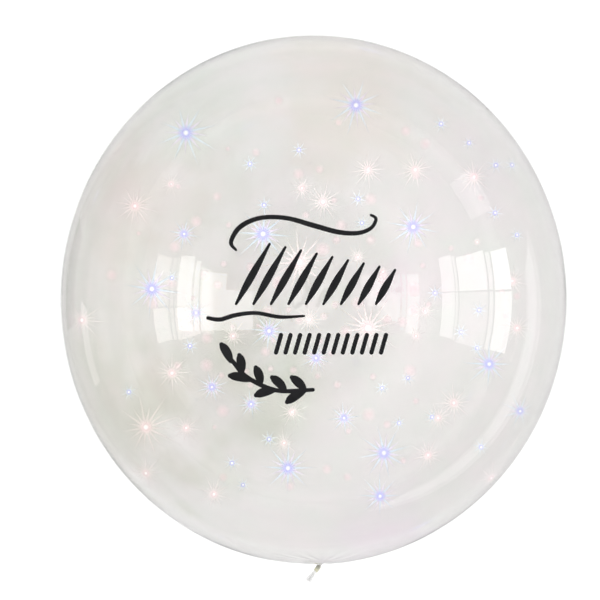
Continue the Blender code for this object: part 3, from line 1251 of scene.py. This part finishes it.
def set_sparkles(name, star, points, material, slot):
    """Makes one piece of like sparkles."""
    heights = [vert.co.z * FLECK_UNIT for vert in star.vertices]
    star.attributes.new("level", "FLOAT", "POINT").data.foreach_set("value", heights)
    model = add_object(name + "_model", star)
    piece = sparkle_recipe(name, model, material).make(name, points)
    bpy.data.objects.remove(model)
    dress(piece, slot)


class BALLOON_OT_sparkles(bpy.types.Operator):
    """Sets the sparkles, painted glints that glow, on the inside of the film"""

    bl_idname = "balloon.sparkles"
    bl_label = "Set the sparkles"

    def execute(self, context):
        settings = context.scene.balloon_sparkles
        finishes = {slot: sparkle_material(slot, settings.glow) for slot in ("cool_sparkle", "warm_sparkle")}
        for name, star, points, slot in (
            ("sparkles_cool", cool_star(), placed_mesh("cool", COOL_STARS), "cool_sparkle"),
            ("sparkles_warm", warm_star(), placed_mesh("warm", WARM_STARS), "warm_sparkle"),
            ("sparkles_small", small_star(), placed_mesh("small", SMALL_STARS), "cool_sparkle"),
            ("sparkles_dust", faint_glint_star(), strewn_mesh(settings.faint_glints, settings.seed), "warm_sparkle"),
        ):
            set_sparkles(name, star, points, finishes[slot], slot)
        return {"FINISHED"}


# The studio


# Daylight through a pale curtain
WINDOW_COLOUR = (1.0, 0.97, 0.985)
ROUND_SIDES = 96
FLOOR_RADIUS, FLOOR_DROP = 6.0, 0.5 * MM


def pane(name, middle, facing, width, height, brightness):
    """One window pane: an area light that faces the ball and that the camera doesn't see."""
    light = bpy.data.lights.new(name, "AREA")
    light.shape = "RECTANGLE"
    light.size = width
    light.size_y = height
    light.energy = brightness * math.pi * width * height
    light.color = WINDOW_COLOUR
    lamp = add_object(name, light)
    lamp.location = middle
    lamp.rotation_euler = facing.to_track_quat("Z", "Y").to_euler()
    lamp.visible_camera = False
    return lamp


def window(name, distance, facing, panes, brightness):
    """A window that faces the ball, each pane given as its span across, its span up and its brightness."""
    middle = BALL_CENTRE + facing * distance
    aside = Vector((0, 0, 1)).cross(facing).normalized()
    rise = facing.cross(aside).normalized()
    for i, (left, right, low, high, share) in enumerate(panes):
        place = middle + aside * ((left + right) / 2) + rise * ((low + high) / 2)
        pane(f"{name}_{i}", place, facing, right - left, high - low, brightness * share)


def floor_strip(name, start, end, width, brightness):
    """A strip light that lies on the floor and shines up, which shows only where it is mirrored."""
    start, end = Vector((*start, STRIP_HEIGHT)), Vector((*end, STRIP_HEIGHT))
    lamp = pane(name, (start + end) / 2, Vector((0, 0, -1)), width, (end - start).length, brightness)
    run = end - start
    lamp.rotation_euler = (math.pi, 0, math.atan2(run.x, run.y))
    lamp.visible_transmission = False


def rectangle(low, high):
    """One flat rectangle, as a list of its faces' corners."""
    return [[(low[0], low[1]), (high[0], low[1]), (high[0], high[1]), (low[0], high[1])]]


def ring(inner, outer):
    """A flat ring, as a list of its faces' corners."""
    faces = []
    for i in range(ROUND_SIDES):
        start, end = math.tau * i / ROUND_SIDES, math.tau * (i + 1) / ROUND_SIDES
        corners = [(inner, start), (outer, start), (outer, end), (inner, end)]
        faces.append([(reach * math.cos(turn), reach * math.sin(turn)) for reach, turn in corners])
    return faces


def flag(name, faces, height, tone):
    """A card that lies on the floor and shows only where it is mirrored."""
    shape = bmesh.new()
    for corners in faces:
        shape.faces.new([shape.verts.new((x, y, height)) for x, y in corners])
    card = add_object(name, finished_mesh(name, shape, card_material(name, tone)))
    for sight in ("camera", "diffuse", "transmission", "shadow"):
        setattr(card, "visible_" + sight, False)


# The panes that the near wall mirrors, from the middle of each window: left, right, low, high, brightness
RIGHT_WINDOW = Vector((1, 0, 0))
RIGHT_PANES = [
    (-0.40, 0.060, 0.01, 0.275, 0.78), (-0.41, 0.065, 0.30, 0.36, 0.6),
    (-0.42, 0.065, 0.385, 0.825, 0.45), (-0.41, 0.065, 0.85, 0.885, 0.6),
    (-0.40, 0.070, 0.90, 1.12, 0.8), (0.075, 0.38, 0.01, 0.275, 0.95),
    (0.08, 0.39, 0.30, 0.36, 0.7), (0.08, 0.41, 0.385, 0.825, 0.95),
    (0.08, 0.44, 0.85, 0.885, 0.7), (0.085, 0.46, 0.90, 1.12, 0.85),
]
LEFT_WINDOW = Vector((-0.72, 0.03, 0.69)).normalized()
LEFT_PANES = [
    (-0.36, 0.35, -0.30, -0.115, 0.92), (-0.32, 0.35, -0.09, -0.03, 0.8),
    (-0.22, 0.35, -0.005, 0.30, 0.95), (-0.06, 0.36, 0.30, 0.64, 1.0),
]
SKYLIGHT = Vector((0.85, 0.51, 0.13)).normalized()
SKYLIGHT_PANES = [(-0.16, 0.20, -0.22, 0.20, 0.25)]
# Each window: its name, how far it is, where it faces from and its panes
WINDOWS = [
    ("right_window", 1.5, RIGHT_WINDOW, RIGHT_PANES),
    ("left_window", 1.6, LEFT_WINDOW, LEFT_PANES),
    ("skylight", 1.6, SKYLIGHT, SKYLIGHT_PANES),
]
# Each strip light on the floor: its name, start, end, width and brightness over the windows'
STRIPS = [
    ("low_window", (0.76, 0.22), (1.25, -1.9), 0.34, 0.44),
    ("low_glow", (0.76, 0.24), (1.25, -1.9), 0.58, 0.22),
    ("door_gap", (-0.75, -0.02), (-0.82, -0.28), 0.14, 0.30),
]
STRIP_HEIGHT = 0.01
# Each card on the floor: its name, faces, height and tone
CARDS = [
    ("grey_card", rectangle((-1.3, -0.7), (-0.44, 0.8)), 1.0 * MM, 0.33),
    ("black_card", rectangle((-0.62, -0.06), (-0.47, 0.16)), 1.5 * MM, 0.12),
    ("ring_card", ring(0.37, 0.80), 0.5 * MM, 0.42),
    ("low_card", rectangle((-0.40, -0.80), (0.50, -0.32)), 0.8 * MM, 0.46),
]


def light_sky(settings):
    """Lights the studio's air, brighter the nearer it is to straight overhead."""
    world = bpy.data.worlds.new("studio")
    world.use_nodes = True
    tree = world.node_tree
    way = add_node(tree, "ShaderNodeTexCoord").outputs["Generated"]
    rise = add_node(tree, "ShaderNodeSeparateXYZ", {"Vector": way}).outputs["Z"]
    sky = within(Term(tree, rise)) * (settings.zenith - settings.dome) + settings.dome
    plug(tree, tree.nodes["Background"].inputs["Strength"], sky)
    tree.nodes["Background"].inputs["Color"].default_value = (1, 1, 1, 1)
    bpy.context.scene.world = world


def lay_floor():
    """Lays the round sheet of paper under the balloon."""
    shape = bmesh.new()
    bmesh.ops.create_circle(shape, cap_ends=True, segments=ROUND_SIDES, radius=FLOOR_RADIUS)
    bmesh.ops.translate(shape, verts=shape.verts, vec=(0, 0, -FLOOR_DROP))
    add_object("studio_floor", finished_mesh("studio_floor", shape, floor_material()))


def set_camera():
    """Sets the camera straight above the balloon, as the photograph sees it."""
    camera = add_object("camera", bpy.data.cameras.new("camera"))
    camera.location = CAMERA_PLACE
    camera.data.lens = LENS
    camera.data.sensor_width = 2 * HALF_SENSOR
    bpy.context.scene.camera = camera


class BALLOON_OT_studio(bpy.types.Operator):
    """Lays the floor and sets the lights and the camera"""

    bl_idname = "balloon.studio"
    bl_label = "Set the studio"

    def execute(self, context):
        settings = context.scene.balloon_studio
        context.scene.view_settings.view_transform = "Standard"
        light_sky(settings)
        lay_floor()
        for name, distance, facing, panes in WINDOWS:
            window(name, distance, facing, panes, settings.window)
        for name, start, end, width, brightness in STRIPS:
            floor_strip(name, start, end, width, brightness * settings.window)
        for name, faces, height, tone in CARDS:
            flag(name, faces, height, tone)
        set_camera()
        return {"FINISHED"}


class BALLOON_PT_panel(bpy.types.Panel):
    """The balloon's steps and settings"""

    bl_idname = "BALLOON_PT_panel"
    bl_label = "Bubble balloon"
    bl_space_type = "VIEW_3D"
    bl_region_type = "UI"
    bl_category = "Balloon"

    def draw(self, context):
        for step, group in STEPS:
            settings = getattr(context.scene, group)
            box = self.layout.box()
            box.operator(step.bl_idname)
            for name in settings.__annotations__:
                box.prop(settings, name)


STEPS = [
    (BALLOON_OT_film, "balloon_film"),
    (BALLOON_OT_cord, "balloon_cord"),
    (BALLOON_OT_print, "balloon_print"),
    (BALLOON_OT_sparkles, "balloon_sparkles"),
    (BALLOON_OT_studio, "balloon_studio"),
]
GROUPS = {
    "balloon_film": FilmSettings,
    "balloon_cord": CordSettings,
    "balloon_print": PrintSettings,
    "balloon_sparkles": SparkleSettings,
    "balloon_studio": StudioSettings,
}


def register():
    for name, group in GROUPS.items():
        bpy.utils.register_class(group)
        setattr(bpy.types.Scene, name, PointerProperty(type=group))
    for step, _ in STEPS:
        bpy.utils.register_class(step)
    bpy.utils.register_class(BALLOON_PT_panel)


def unregister():
    bpy.utils.unregister_class(BALLOON_PT_panel)
    for step, _ in reversed(STEPS):
        bpy.utils.unregister_class(step)
    for name, group in reversed(GROUPS.items()):
        delattr(bpy.types.Scene, name)
        bpy.utils.unregister_class(group)


def main():
    """Runs every step in order."""
    register()
    bpy.ops.balloon.film()
    bpy.ops.balloon.cord()
    bpy.ops.balloon.print()
    bpy.ops.balloon.sparkles()
    bpy.ops.balloon.studio()


if __name__ == "__main__":
    main()
